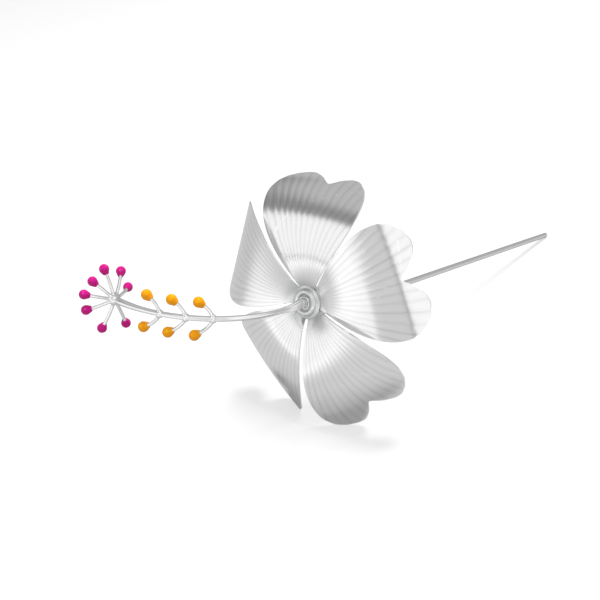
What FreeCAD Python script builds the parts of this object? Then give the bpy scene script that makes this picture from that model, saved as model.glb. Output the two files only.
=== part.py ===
import FreeCAD, Part
import math
import os

os.makedirs("parts", exist_ok=True)

Vec = FreeCAD.Vector

# petals: one flat pattern, bent the same way five times (mm, degrees)
petal_length = 34.6          # root to the top of a lobe, measured on the flat sheet
petal_half_angle = 35.8      # half of the fan angle of the flat sheet
petal_sheet = 0.42           # sheet thickness
root_radius = 3.14           # where the sheets start, from the flower's axis
side_share = 0.44            # length of the straight side, as a share of the petal
lobe_power = 4.3             # how square the two lobes are
notch_depth = 0.158          # depth of the heart notch, as a share of the petal
notch_reach = 0.337          # half width of the notch, as a share of the half angle
notch_round = 0.03           # rounding at its bottom, also a share of the half angle
root_taper = 0.14            # the fan is narrower by this share at the root
root_taper_reach = 7.0       # and the taper fades over this length
root_slope = 19.7            # the sheet leaves the axis rising to the front
rim_slope = -76.4            # and ends curled back
curl_power = 1.47            # how late the curl sets in
root_trough = -0.054         # bend across the sheet at the root, 1/mm
root_trough_reach = 7.0
rim_trough = 0.003           # bend across the sheet further out, 1/mm
settle_length = 3.0          # a petal takes up its own pitch and roll over this length

# name, turn, pitch, roll, length factor, shift of the notch,
# notch depth factor, width factor, extra bend across (1/mm), extra curl
petals = (
    ("petal_top", 0.1, -2.9, -0.1, 1.026, -0.127, 0.705, 0.998, 0.0013, -1.0),
    ("petal_right", -0.7, -4.5, 6.6, 1.003, 0.0, 1.116, 0.974, -0.005, -1.1),
    ("petal_lower", 2.6, 2.6, 2.7, 1.02, 0.012, 0.881, 0.994, -0.0002, 2.7),
    ("petal_lower_left", -2.0, -7.1, 6.9, 1.0, 0.003, 0.985, 1.009, 0.0044, 5.3),
    ("petal_left", -2.5, 2.0, -8.1, 0.995, -0.089, 0.898, 0.969, -0.0021, -11.5),
)

# flower centre
solder_gap = 0.02            # radial clearance between pieces that are joined
petal_gap = 0.11             # room for a petal's own pitch and roll under the collar
collar_radius = 3.95         # foot of the collar, on the petals
ring_radius = 2.75           # centre line of the bright rounded ring
ring_tube = 0.7
ring_height = 1.0            # ring centre above the root plane
recess_floor = 0.6
spigot_radius = 3.0          # goes back through the ring of petal roots
spigot_length = 2.4
ferrule_radius = 1.75        # small boss in the recess
ferrule_height = 1.6
calyx_radius = 4.1
calyx_rim = -0.2             # height of its edge behind the petals
calyx_dish = 0.24            # its face slopes like the petal roots
calyx_neck_radius = 1.35

# shank
stem_radius = 0.8
stem_length = 113.0
neck_back = 12.0             # where the calyx ends, behind the flower's centre
neck_drop = 3.0              # and how far it hangs below the flower's axis
neck_shift = 1.3
stem_lean_up = 1.1           # the shank closes in on the flower's axis again
stem_lean_side = 0.5
stem_socket = 4.0            # its reduced end goes this far into the calyx
stem_end_radius = 0.6

# curved column
column_radius = 0.68
column_foot_radius = 1.25    # flares to this at the ferrule
column_flare = 9.0           # over this length
column_foot = -1.2           # height of its lower end, inside the spigot
column_straight = 1.3        # height where the bend starts
column_length = 53.5         # along the bend
bend_radius_foot = 25.0
bend_radius_end = 42.0
bend_turn = 83.2             # direction the column bends to, from straight up
column_lean = 8.0            # its foot leans off the flower's axis
column_lean_turn = -159.0

# stamens, in pairs on both sides of the column
wire_radius = 0.43
junctions = (25.2, 31.9, 38.7)
stamen_reach = 4.4           # sideways
stamen_forward = (3.6, 4.8)  # along the column, upper and lower row
orange_radius = 1.36

# stigma at the end of the column
hub_radius = 1.45
arm_root_radius = 0.32
magenta_radius = 1.25
# turn around the column's end, reach outwards, reach forwards
arms = (
    (-95.2, 7.54, 2.8),
    (-51.4, 7.08, 2.8),
    (-5.4, 6.37, 2.8),
    (63.4, 9.34, 1.5),
    (106.1, 8.41, 2.8),
    (165.7, 6.97, 2.8),
    (-160.0, 7.52, 2.8),
    (-129.5, 6.8, 2.8),
)
wire_seat = 1.25             # straight end of each wire, pushed into its bead
bead_seat = 0.35             # where the wire ends in a bead, as a share of its radius
bead_neck = 1.2              # length of the drop shaped end, as a share of its radius


def blend(low, high, share):
    share = min(1.0, max(0.0, share))
    return low + (high - low) * share * share * (3 - 2 * share)


class Petal:
    """One petal: flat pattern coordinates in, bent sheet coordinates out."""

    def __init__(self, spec, turn):
        self.name, extra, pitch, roll, self.grow, self.shift = spec[:6]
        self.notch, self.width, self.cup, curl = spec[6:]
        self.turn = math.radians(turn + extra)
        self.pitch = math.radians(pitch)
        self.roll = math.radians(roll)
        self.curl = math.radians(curl)
        self.step = 0.1
        self.midline = [(root_radius, 0.0)]
        r, h, along = root_radius, 0.0, 0.0
        while along < 1.3 * petal_length:
            slope = self.slope(along + self.step / 2)
            r += self.step * math.cos(slope)
            h += self.step * math.sin(slope)
            along += self.step
            self.midline.append((r, h))

    def slope(self, along):
        start = math.radians(root_slope)
        end = math.radians(rim_slope) + self.curl
        share = max(0.0, along) / (1.02 * petal_length * self.grow)
        own = blend(0.0, self.pitch, along / settle_length)
        return start + own + (end - start) * share ** curl_power

    def flat(self, s, t):
        lobe = 1 - abs(t) ** lobe_power
        outline = side_share + (1 - side_share) * math.sqrt(max(0.0, lobe))
        aside = math.hypot(t - self.shift, notch_round) - notch_round
        notch = max(0.0, 1 - aside / notch_reach) ** 1.5
        outline -= notch_depth * self.notch * notch
        reach = petal_length * self.grow * outline
        rho = root_radius + s * (reach - root_radius)
        angle = t * math.radians(petal_half_angle) * self.width
        angle *= 1 - root_taper * math.exp((root_radius - rho) / root_taper_reach)
        return rho * math.cos(angle) - root_radius, rho * math.sin(angle)

    def bent(self, along, across):
        slope = self.slope(along)
        if along < 0:
            r = root_radius + along * math.cos(slope)
            h = along * math.sin(slope)
        else:
            row = int(along / self.step)
            part = along / self.step - row
            r = self.midline[row][0] * (1 - part) + self.midline[row + 1][0] * part
            h = self.midline[row][1] * (1 - part) + self.midline[row + 1][1] * part
        bend = rim_trough + self.cup
        bend += root_trough * math.exp(-max(0.0, along) / root_trough_reach)
        side = math.sin(bend * across) / bend
        lift = -(1 - math.cos(bend * across)) / bend
        point = Vec(r - root_radius - math.sin(slope) * lift, side, h + math.cos(slope) * lift)
        first = self.slope(settle_length)
        axis = Vec(math.cos(first), 0, math.sin(first))
        roll = blend(0.0, self.roll, along / settle_length)
        point = FreeCAD.Rotation(axis, math.degrees(roll)).multVec(point)
        x = point.x + root_radius
        return Vec(
            x * math.cos(self.turn) - point.y * math.sin(self.turn),
            x * math.sin(self.turn) + point.y * math.cos(self.turn),
            point.z,
        )

    def skin(self, s, t, side):
        """Point on the front (side=1) or back (side=-1) face of the sheet."""
        along, across = self.flat(s, t)
        small = 0.05
        out = self.bent(along + small, across) - self.bent(along - small, across)
        over = self.bent(along, across + small) - self.bent(along, across - small)
        normal = out.cross(over)
        normal.normalize()
        return self.bent(along, across) + normal * (side * petal_sheet / 2)

    def columns(self, count):
        """Places across the sheet, closest at its side edges and at the notch."""
        shares = [blend(0, 1, i / count) for i in range(count + 1)]
        left = [-1 + (self.shift + 1) * share for share in shares]
        right = [1 + (self.shift - 1) * share for share in reversed(shares)]
        return left + right[1:]

    def solid(self):
        rows = [i / 10 for i in range(11)]
        skins = []
        for side in (-1, 1):
            grid = [[self.skin(s, t, side) for t in self.columns(14)] for s in rows]
            surface = Part.BSplineSurface()
            surface.interpolate(grid)
            skins.append(surface)
        back, front = skins
        faces = [back.toShape(), front.toShape()]
        for low, high in zip(borders(back), borders(front)):
            faces.append(Part.makeRuledSurface(low.toShape(), high.toShape()))
        shell = Part.Shell(faces)
        shell.sewShape()
        solid = Part.Solid(shell)
        if solid.Volume < 0:
            solid.reverse()
        return solid


def borders(surface):
    """The four edge curves of a petal's face: root, rim and the two sides."""
    u0, u1, v0, v1 = surface.bounds()
    return surface.uIso(u0), surface.uIso(u1), surface.vIso(v0), surface.vIso(v1)


def turned(profile, axis=Vec(0, 0, 1), base=Vec(0, 0, 0)):
    """Solid of revolution of a closed list of edges."""
    face = Part.Face(Part.Wire(profile))
    return face.revolve(base, axis, 360)


def polyline(points):
    corners = [Vec(r, 0, h) for r, h in points]
    corners.append(corners[0])
    return [Part.LineSegment(a, b).toShape() for a, b in zip(corners, corners[1:])]


def tube(stations):
    """Smooth solid through circles given as (centre, direction, radius)."""
    wires = [Part.Wire(Part.makeCircle(radius, centre, way)) for centre, way, radius in stations]
    return Part.makeLoft(wires, True, False)


def collar():
    slope = math.tan(math.radians(root_slope))
    lift = petal_sheet / 2 / math.cos(math.radians(root_slope)) + petal_gap
    foot = (collar_radius - root_radius) * slope + lift
    seat = (spigot_radius - root_radius) * slope + lift
    shoulder = ring_radius + ring_tube
    inner = ring_radius - ring_tube
    outline = [
        Vec(column_foot_radius + solder_gap, 0, -spigot_length),
        Vec(spigot_radius, 0, -spigot_length),
        Vec(spigot_radius, 0, seat),
        Vec(collar_radius, 0, foot),
        Vec(collar_radius, 0, foot + 0.15),
        Vec(shoulder, 0, ring_height),
    ]
    top = Vec(ring_radius, 0, ring_height + ring_tube)
    inside = [
        Vec(inner, 0, ring_height),
        Vec(inner, 0, recess_floor),
        Vec(column_foot_radius + solder_gap, 0, recess_floor),
        outline[0],
    ]
    edges = [Part.LineSegment(a, b).toShape() for a, b in zip(outline, outline[1:])]
    edges.append(Part.Arc(outline[-1], top, inside[0]).toShape())
    edges += [Part.LineSegment(a, b).toShape() for a, b in zip(inside, inside[1:])]
    return turned(edges)


def ferrule():
    bore = column_foot_radius + solder_gap
    edge = (ferrule_radius - bore) / 2
    shoulder = ferrule_height - edge
    corners = [
        Vec(bore, 0, shoulder),
        Vec(bore, 0, recess_floor),
        Vec(ferrule_radius, 0, recess_floor),
        Vec(ferrule_radius, 0, shoulder),
    ]
    edges = [Part.LineSegment(a, b).toShape() for a, b in zip(corners, corners[1:])]
    edges.append(Part.Arc(corners[-1], Vec(bore + edge, 0, ferrule_height), corners[0]).toShape())
    return turned(edges)


def stem_way():
    up = math.tan(math.radians(stem_lean_up))
    side = math.tan(math.radians(stem_lean_side))
    way = Vec(up, side, -1)
    way.normalize()
    return way


neck = Vec(-neck_drop, -neck_shift, -neck_back)


def calyx():
    # share of the length, radius: a bud that narrows to the shank
    bud = ((0, 1.0), (0.12, 0.97), (0.3, 0.82), (0.5, 0.6), (0.72, 0.42), (0.88, 0.35))
    stations = []
    for share, width in bud:
        centre = Vec(blend(0, neck.x, share), blend(0, neck.y, share), -share * neck_back)
        centre.z += calyx_rim * (1 - share)
        stations.append((centre, Vec(0, 0, -1), width * calyx_radius))
    stations.append((neck, stem_way(), calyx_neck_radius))
    body = tube(stations)
    low = calyx_rim - calyx_dish * calyx_radius
    wide = calyx_radius + 1
    dish = [(0, low), (wide, low + calyx_dish * wide), (wide, 2), (0, 2)]
    body = body.cut(turned(polyline(dish)))
    bore = spigot_radius + solder_gap
    body = body.cut(Part.makeCylinder(bore, spigot_length + 2, Vec(0, 0, -spigot_length)))
    start = neck - stem_way() * stem_socket
    bore = stem_end_radius + solder_gap
    socket = Part.makeCylinder(bore, stem_socket + 1, start, stem_way())
    return body.cut(socket)


def stem():
    way = stem_way()
    bevel = 0.15
    start = neck + way * solder_gap
    straight = stem_length - solder_gap - bevel
    shank = Part.makeCylinder(stem_radius, straight, start, way)
    tip = Part.makeCone(stem_radius, stem_radius - bevel, bevel, start + way * straight, way)
    reduced = Part.makeCylinder(stem_end_radius, stem_socket + 1, neck - way * stem_socket, way)
    return shank.fuse([tip, reduced])


def spin(turn):
    angle = math.radians(turn)
    return Vec(math.cos(angle), math.sin(angle), 0)


class Column:
    """Centre line of the column: foot on the flower's axis, then an easing bend."""

    def __init__(self):
        lean = math.radians(column_lean)
        foot = Vec(0, 0, math.cos(lean)) + spin(column_lean_turn) * math.sin(lean)
        aside = spin(bend_turn)
        aside = aside - foot * foot.dot(aside)
        aside.normalize()
        self.binormal = foot.cross(aside)
        self.step = 0.05
        point = Vec(0, 0, column_straight)
        self.points, self.ways = [point], [Vec(0, 0, 1)]
        along, angle = 0.0, 0.0
        while along < column_length:
            share = along / column_length
            curve = (1 - share) / bend_radius_foot + share / bend_radius_end
            angle += curve * self.step
            way = foot * math.cos(angle) + aside * math.sin(angle)
            way = Vec(0, 0, 1) * (1 - blend(0, 1, along / 3)) + way * blend(0, 1, along / 3)
            way.normalize()
            point = point + way * self.step
            along += self.step
            self.points.append(point)
            self.ways.append(way)

    def at(self, along):
        row = min(len(self.points) - 1, int(round(along / self.step)))
        return self.points[row], self.ways[row]

    def solid(self):
        stations = []
        for height in (column_foot, column_foot / 2, 0.3, column_straight):
            stations.append((Vec(0, 0, height), Vec(0, 0, 1), column_foot_radius))
        count = 22
        for i in range(1, count + 1):
            along = column_length * i / count
            radius = blend(column_foot_radius, column_radius, along / column_flare)
            stations.append((*self.at(along), radius))
        return tube(stations)


def wire_and_bead(start, mid, end, root_radius_here, bead_radius):
    """Curved wire from start, with its drop shaped bead centred on end."""
    way = end - mid
    way.normalize()
    tip = end - way * (bead_seat * bead_radius)
    seat = tip - way * wire_seat
    stations = []
    for i in range(7):
        u = i / 6
        point = start * ((1 - u) ** 2) + mid * (2 * u * (1 - u)) + seat * (u * u)
        tangent = (mid - start) * (1 - u) + (seat - mid) * u
        radius = blend(root_radius_here, wire_radius, u / 0.4)
        stations.append((point, tangent, radius))
    stations.append((seat + way * (wire_seat / 2), way, wire_radius))
    stations.append((tip, way, wire_radius))
    return tube(stations), bead(end, way, bead_radius)


def bead(centre, way, radius):
    """Ball with a cone that runs off it smoothly towards the wire."""
    lean = math.radians(25)
    top = Vec(0, 0, radius)
    side = Vec(radius, 0, 0)
    leave = Vec(radius * math.cos(lean), 0, -radius * math.sin(lean))
    drop = -bead_neck * radius
    narrow = (radius / math.sin(lean) + drop) * math.tan(lean)
    edges = [
        Part.Arc(top, side, leave).toShape(),
        Part.LineSegment(leave, Vec(narrow, 0, drop)).toShape(),
        Part.LineSegment(Vec(narrow, 0, drop), Vec(0, 0, drop)).toShape(),
        Part.LineSegment(Vec(0, 0, drop), top).toShape(),
    ]
    ball = turned(edges)
    depth = (bead_neck - bead_seat) * radius
    bore = Part.makeCylinder(wire_radius + solder_gap, depth + 1, Vec(0, 0, drop - 1))
    ball = ball.cut(bore)
    ball.Placement = FreeCAD.Placement(centre, FreeCAD.Rotation(Vec(0, 0, 1), way))
    return ball


def stamens(column, column_solid):
    nodes = {}
    count = 0
    for along in junctions:
        start, way = column.at(along)
        for side, forward in zip((-1, 1), stamen_forward):
            count += 1
            end = start + way * forward + column.binormal * (side * stamen_reach)
            mid = start + way * (0.25 * forward) + column.binormal * (side * 0.55 * stamen_reach)
            wire, drop = wire_and_bead(start, mid, end, wire_radius, orange_radius)
            nodes[f"stamen_wire_{count}"] = wire.cut(column_solid)
            nodes[f"stamen_bead_{count}"] = drop
    return nodes


def stigma(column, column_solid):
    start, way = column.at(column_length)
    across = column.binormal.cross(way)
    ball = Part.makeSphere(hub_radius, start, way)
    nodes = {"stigma_hub": ball.cut(column_solid)}
    for count, (turn, reach, forward) in enumerate(arms, 1):
        angle = math.radians(turn)
        aside = across * math.cos(angle) + column.binormal * math.sin(angle)
        end = start + aside * reach + way * forward
        mid = start + aside * (0.5 * reach) + way * (0.25 * forward)
        wire, drop = wire_and_bead(start, mid, end, arm_root_radius, magenta_radius)
        nodes[f"stigma_arm_{count}"] = wire.cut(ball)
        nodes[f"stigma_bead_{count}"] = drop
    return nodes


def resting_pose(leaves):
    """Roll and slope with which two lower petals and the shank's end meet the floor."""
    rims = {}
    for leaf in leaves:
        places = [i / 40 for i in range(-40, 41)]
        rims[leaf.name] = [leaf.skin(1, t, side) for t in places for side in (-1, 1)]
    end = neck + stem_way() * stem_length

    def lowest(points, roll, slope):
        up = spin(-math.degrees(roll))
        return min(p.dot(up) * math.cos(slope) + p.z * math.sin(slope) for p in points)

    def level(roll):
        low, high = 0.0, 0.6
        everything = [p for rim in rims.values() for p in rim]
        for _ in range(24):
            slope = (low + high) / 2
            tip = end.dot(spin(-math.degrees(roll))) * math.cos(slope) + end.z * math.sin(slope)
            tip -= stem_radius * math.cos(slope)
            if lowest(everything, roll, slope) < tip:
                low = slope
            else:
                high = slope
        return slope

    low, high = -0.4, 0.4
    for _ in range(24):
        roll = (low + high) / 2
        slope = level(roll)
        left = lowest(rims["petal_lower_left"], roll, slope)
        right = lowest(rims["petal_lower"], roll, slope)
        if left < right:
            high = roll
        else:
            low = roll
    return roll, slope


leaves = [Petal(spec, -72 * k) for k, spec in enumerate(petals)]
nodes = {leaf.name: leaf.solid() for leaf in leaves}
nodes["collar_cup"] = collar()
nodes["column_ferrule"] = ferrule()
nodes["calyx_cup"] = calyx()
nodes["pin_stem"] = stem()
column = Column()
column_solid = column.solid()
nodes["style_column"] = column_solid
nodes.update(stamens(column, column_solid))
nodes.update(stigma(column, column_solid))

# lay the pin down: the flower's axis becomes +X, sloping up, and its "up" becomes +Z
roll, slope = resting_pose(leaves)
front = Vec(math.cos(slope), 0, math.sin(slope))
upward = Vec(-math.sin(slope), 0, math.cos(slope))
stand = FreeCAD.Rotation(upward, Vec(0, -1, 0), front, "ZXY")
pose = stand.multiply(FreeCAD.Rotation(Vec(0, 0, 1), math.degrees(roll)))
lay = FreeCAD.Placement(Vec(0, 0, 0), pose)
for shape in nodes.values():
    shape.Placement = lay.multiply(shape.Placement)

box = Part.makeCompound(list(nodes.values())).optimalBoundingBox()
shift = Vec(-(box.XMin + box.XMax) / 2, -(box.YMin + box.YMax) / 2, -box.ZMin)
for name, shape in nodes.items():
    shape.translate(shift)
    shape.exportStep(f"parts/{name}.step")
    if not shape.isValid() or len(shape.Solids) != 1:
        print("check", name, shape.isValid(), len(shape.Solids))

print("slope", round(math.degrees(slope), 3), "roll", round(math.degrees(roll), 3))
print("flower centre", [round(v, 3) for v in shift])
print("size", [round(v, 2) for v in (box.XLength, box.YLength, box.ZLength)])
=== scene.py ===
import math

import bmesh
import bpy
import numpy as np
from mathutils import Matrix, Vector


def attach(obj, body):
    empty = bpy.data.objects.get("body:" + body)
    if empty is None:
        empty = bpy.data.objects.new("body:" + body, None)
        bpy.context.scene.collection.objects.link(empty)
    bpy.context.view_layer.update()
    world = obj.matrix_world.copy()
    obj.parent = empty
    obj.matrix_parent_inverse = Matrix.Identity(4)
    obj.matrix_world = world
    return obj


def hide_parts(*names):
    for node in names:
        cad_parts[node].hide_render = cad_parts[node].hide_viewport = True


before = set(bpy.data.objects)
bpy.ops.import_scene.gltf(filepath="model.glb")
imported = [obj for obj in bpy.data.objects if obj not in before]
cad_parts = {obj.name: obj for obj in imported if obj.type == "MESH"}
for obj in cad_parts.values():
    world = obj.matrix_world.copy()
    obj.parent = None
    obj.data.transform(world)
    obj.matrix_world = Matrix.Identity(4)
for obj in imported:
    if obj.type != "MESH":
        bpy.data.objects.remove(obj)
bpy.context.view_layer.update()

mm = 0.001

# the flower is made upright in millimetres (up, side, front), then laid down like the frame
restPose = {
    "flowerCentre": (41.4877, 5.0017, 30.8730),
    "slope": 13.553,  # degrees, the flower's axis rises towards its front
    "roll": -0.149,
}


def spin(turn):  # unit vector in the flower's plane, turn counted from straight up
    return np.array([math.cos(math.radians(turn)), math.sin(math.radians(turn)), 0.0])


def ease(share):
    share = np.clip(share, 0.0, 1.0)
    return share * share * (3.0 - 2.0 * share)


def unit(vector):
    return np.asarray(vector, float) / np.linalg.norm(vector)


def layDown(points):
    points = np.asarray(points, float)
    slope, roll = math.radians(restPose["slope"]), math.radians(restPose["roll"])
    up = points[..., 0] * math.cos(roll) - points[..., 1] * math.sin(roll)
    side = points[..., 0] * math.sin(roll) + points[..., 1] * math.cos(roll)
    front = points[..., 2]
    x = front * math.cos(slope) - up * math.sin(slope)
    z = front * math.sin(slope) + up * math.cos(slope)
    return (np.stack([x, -side, z], -1) + np.array(restPose["flowerCentre"])) * mm


def gridMesh(name, grid, size, closeAcross=True, closeAlong=False, caps=(False, False)):
    # grid of points in flower millimetres; size is its spread across and along, for the UV map
    rows, columns = grid.shape[:2]
    faces, spread = [], []
    for i in range(rows if closeAlong else rows - 1):
        for j in range(columns if closeAcross else columns - 1):
            k, m = (j + 1) % columns, (i + 1) % rows
            faces.append((i * columns + j, i * columns + k, m * columns + k, m * columns + j))
            spread.append(((j, i), (j + 1, i), (j + 1, i + 1), (j, i + 1)))
    sides = len(faces)
    if caps[0]:
        faces.append(tuple(reversed(range(columns))))
    if caps[1]:
        faces.append(tuple((rows - 1) * columns + j for j in range(columns)))
    for face in faces[sides:]:
        spread.append(tuple((v % columns, v // columns) for v in face))
    mesh = bpy.data.meshes.new(name)
    mesh.from_pydata([tuple(p) for p in layDown(grid).reshape(-1, 3)], [], faces)
    chart = mesh.uv_layers.new(name="lay")
    corners = np.array([corner for face in spread for corner in face], float)
    corners *= (size[0] / columns, size[1] / max(1, rows - 1))
    chart.data.foreach_set("uv", corners.ravel())
    for face in mesh.polygons:
        face.use_smooth = face.index < sides
    mesh.update()
    piece = bpy.data.objects.new(name, mesh)
    bpy.context.scene.collection.objects.link(piece)
    return piece


def weld(piece):  # joins the points at a pole and turns all faces outwards
    work = bmesh.new()
    work.from_mesh(piece.data)
    bmesh.ops.remove_doubles(work, verts=work.verts, dist=2e-7)
    bmesh.ops.recalc_face_normals(work, faces=work.faces)
    work.to_mesh(piece.data)
    work.free()
    return piece


def ringFrame(axis):
    side = unit(np.cross(axis, (0.31, 0.87, 0.12)))
    return side, np.cross(axis, side)


def lathe(name, profile, origin, axis, around=72, shape=None, closeAlong=False):
    # profile rows are (radius, height); shape(radius, height, angle) may push the surface about
    profile = np.asarray(profile, float)
    axis = unit(axis)
    side, over = ringFrame(axis)
    angle = np.linspace(0, 2 * math.pi, around, endpoint=False)[None, :]
    radius, height = profile[:, :1] + 0 * angle, profile[:, 1:] + 0 * angle
    if shape:
        radius, height = shape(radius, height, angle + 0 * radius)
    ring = np.cos(angle)[..., None] * side + np.sin(angle)[..., None] * over
    grid = np.asarray(origin, float) + radius[..., None] * ring + height[..., None] * axis
    length = np.linalg.norm(np.diff(profile, axis=0), axis=1).sum()
    size = (2 * math.pi * profile[:, 0].max(), length)
    return weld(gridMesh(name, grid, size, closeAlong=closeAlong))


def sweep(name, path, radius, around=40, lobes=None, caps=(True, True)):
    # tube along a path; lobes(row share, angle) multiplies the radius
    path = np.asarray(path, float)
    way = np.gradient(path, axis=0)
    way /= np.linalg.norm(way, axis=1, keepdims=True)
    side = ringFrame(way[0])[0]
    sides = []
    for step in way:
        side = unit(side - step * side.dot(step))
        sides.append(side)
    sides = np.array(sides)
    overs = np.cross(way, sides)
    angle = np.linspace(0, 2 * math.pi, around, endpoint=False)
    share = np.linspace(0, 1, len(path))
    radius = np.asarray(radius, float)[:, None] * np.ones(around)
    if lobes:
        radius = radius * lobes(share[:, None], angle[None, :])
    ring = np.cos(angle)[None, :, None] * sides[:, None] + np.sin(angle)[None, :, None] * overs[:, None]
    grid = path[:, None] + radius[..., None] * ring
    length = np.linalg.norm(np.diff(path, axis=0), axis=1).sum()
    return weld(gridMesh(name, grid, (2 * math.pi * radius.mean(), length), caps=caps))


def smoothLine(keys, count):  # even points on a smooth curve through the keys
    keys = np.asarray(keys, float)
    gaps = np.concatenate([[0.0], np.cumsum(np.linalg.norm(np.diff(keys, axis=0), axis=1))])
    slopes = np.gradient(keys, gaps, axis=0)
    places = np.linspace(0, gaps[-1], count)
    i = np.clip(np.searchsorted(gaps, places, side="right") - 1, 0, len(keys) - 2)
    span = (gaps[i + 1] - gaps[i])[:, None]
    u = (places - gaps[i])[:, None] / span
    start, end = keys[i], keys[i + 1]
    first, last = slopes[i] * span, slopes[i + 1] * span
    return (
        (2 * u**3 - 3 * u**2 + 1) * start
        + (u**3 - 2 * u**2 + u) * first
        + (3 * u**2 - 2 * u**3) * end
        + (u**3 - u**2) * last
    )


def newGroup(name, inputs, outputs):
    group = bpy.data.node_groups.new(name, "ShaderNodeTree")
    for label, kind, value in inputs:
        socket = group.interface.new_socket(name=label, in_out="INPUT", socket_type=kind)
        socket.default_value = value
    for label, kind in outputs:
        group.interface.new_socket(name=label, in_out="OUTPUT", socket_type=kind)
    return group, group.nodes.new("NodeGroupInput"), group.nodes.new("NodeGroupOutput")


def makeNode(tree, kind, **values):
    node = tree.nodes.new(kind)
    for key, value in values.items():
        setattr(node, key, value)
    return node


def buildTarnish():  # cloudy change of colour and gloss, as handling and air leave it
    group, start, end = newGroup(
        "softTarnish",
        [
            ("Scale", "NodeSocketFloat", 300.0),
            ("Clean", "NodeSocketColor", (0.9, 0.9, 0.9, 1)),
            ("Dull", "NodeSocketColor", (0.7, 0.7, 0.7, 1)),
            ("Rough Low", "NodeSocketFloat", 0.1),
            ("Rough High", "NodeSocketFloat", 0.3),
        ],
        [("Color", "NodeSocketColor"), ("Roughness", "NodeSocketFloat")],
    )
    place = makeNode(group, "ShaderNodeTexCoord")
    cloud = makeNode(group, "ShaderNodeTexNoise", noise_dimensions="3D")
    cloud.inputs["Detail"].default_value = 4.0
    cloud.inputs["Roughness"].default_value = 0.55
    mix = makeNode(group, "ShaderNodeMix", data_type="RGBA")
    reach = makeNode(group, "ShaderNodeMapRange")
    group.links.new(place.outputs["Object"], cloud.inputs["Vector"])
    group.links.new(start.outputs["Scale"], cloud.inputs["Scale"])
    group.links.new(cloud.outputs["Fac"], mix.inputs["Factor"])
    group.links.new(start.outputs["Clean"], mix.inputs["A"])
    group.links.new(start.outputs["Dull"], mix.inputs["B"])
    group.links.new(cloud.outputs["Fac"], reach.inputs["Value"])
    group.links.new(start.outputs["Rough Low"], reach.inputs["To Min"])
    group.links.new(start.outputs["Rough High"], reach.inputs["To Max"])
    group.links.new(mix.outputs["Result"], end.inputs["Color"])
    group.links.new(reach.outputs["Result"], end.inputs["Roughness"])
    return group


def buildPolishMarks():  # fine lines along a sheet or wire, per millimetre of its UV map
    group, start, end = newGroup(
        "polishMarks",
        [("Across", "NodeSocketFloat", 9.0), ("Along", "NodeSocketFloat", 0.4)],
        [("Height", "NodeSocketFloat"), ("Mask", "NodeSocketFloat")],
    )
    place = makeNode(group, "ShaderNodeUVMap", uv_map="lay")
    stretch = makeNode(group, "ShaderNodeCombineXYZ")
    scale = makeNode(group, "ShaderNodeVectorMath", operation="MULTIPLY")
    marks = makeNode(group, "ShaderNodeTexNoise", noise_dimensions="2D")
    marks.inputs["Detail"].default_value = 3.0
    marks.inputs["Scale"].default_value = 1.0
    band = makeNode(group, "ShaderNodeMapRange", interpolation_type="SMOOTHSTEP")
    band.inputs["From Min"].default_value = 0.42
    band.inputs["From Max"].default_value = 0.72
    group.links.new(start.outputs["Across"], stretch.inputs["X"])
    group.links.new(start.outputs["Along"], stretch.inputs["Y"])
    group.links.new(place.outputs["UV"], scale.inputs[0])
    group.links.new(stretch.outputs["Vector"], scale.inputs[1])
    group.links.new(scale.outputs["Vector"], marks.inputs["Vector"])
    group.links.new(marks.outputs["Fac"], band.inputs["Value"])
    group.links.new(marks.outputs["Fac"], end.inputs["Height"])
    group.links.new(band.outputs["Result"], end.inputs["Mask"])
    return group


def buildEdgeWearSheenAndShade():  # masks from how sharply the surface turns: lighter edges, partly worn silver and partly a painted highlight, and painted shade in the crevices
    group, start, end = newGroup(
        "edgeWearSheenAndShade",
        [("Low", "NodeSocketFloat", 0.5), ("High", "NodeSocketFloat", 0.6)],
        [("EdgeWearAndSheen", "NodeSocketFloat"), ("HollowShade", "NodeSocketFloat")],
    )
    shape = makeNode(group, "ShaderNodeNewGeometry")
    edge = makeNode(group, "ShaderNodeMapRange")
    flip = makeNode(group, "ShaderNodeMath", operation="SUBTRACT")
    flip.inputs[0].default_value = 1.0
    hollowShade = makeNode(group, "ShaderNodeMapRange")
    group.links.new(shape.outputs["Pointiness"], edge.inputs["Value"])
    group.links.new(shape.outputs["Pointiness"], flip.inputs[1])
    group.links.new(flip.outputs["Value"], hollowShade.inputs["Value"])
    for part in (edge, hollowShade):
        group.links.new(start.outputs["Low"], part.inputs["From Min"])
        group.links.new(start.outputs["High"], part.inputs["From Max"])
    group.links.new(edge.outputs["Result"], end.inputs["EdgeWearAndSheen"])
    group.links.new(hollowShade.outputs["Result"], end.inputs["HollowShade"])
    return group


tarnish = buildTarnish()
polishMarks = buildPolishMarks()
edgeWearSheenAndShade = buildEdgeWearSheenAndShade()
print("node groups ready")

silverSheet = {
    "clean": (0.98, 0.98, 0.975, 1),
    "dull": (0.92, 0.92, 0.92, 1),
    "foldShade": (0.7, 0.71, 0.72, 1),  # painted shade at the bottom of a pleat
    "foldShadeStrength": 0.6,
    "root": (0.42, 0.43, 0.44, 1),  # painted shade close to the collar
    "roughLow": 0.12,
    "roughHigh": 0.19,
    "marksAcross": 2.6,  # per mm
    "marksAlong": 0.12,
    "marksDepth": 0.0000035,  # m
    "grainDepth": 0.000008,
}
silverWire = {
    "clean": (0.98, 0.98, 0.975, 1),
    "dull": (0.91, 0.91, 0.91, 1),
    "foldShade": (0.55, 0.56, 0.57, 1),
    "foldShadeStrength": 0.6,
    "rim": (0.36, 0.37, 0.38, 1),  # painted shade where the wire is seen edge on
    "roughLow": 0.12,
    "roughHigh": 0.2,
    "marksAcross": 3.2,
    "marksAlong": 0.25,
    "marksDepth": 0.000003,
    "grainDepth": 0.000004,
}
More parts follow.
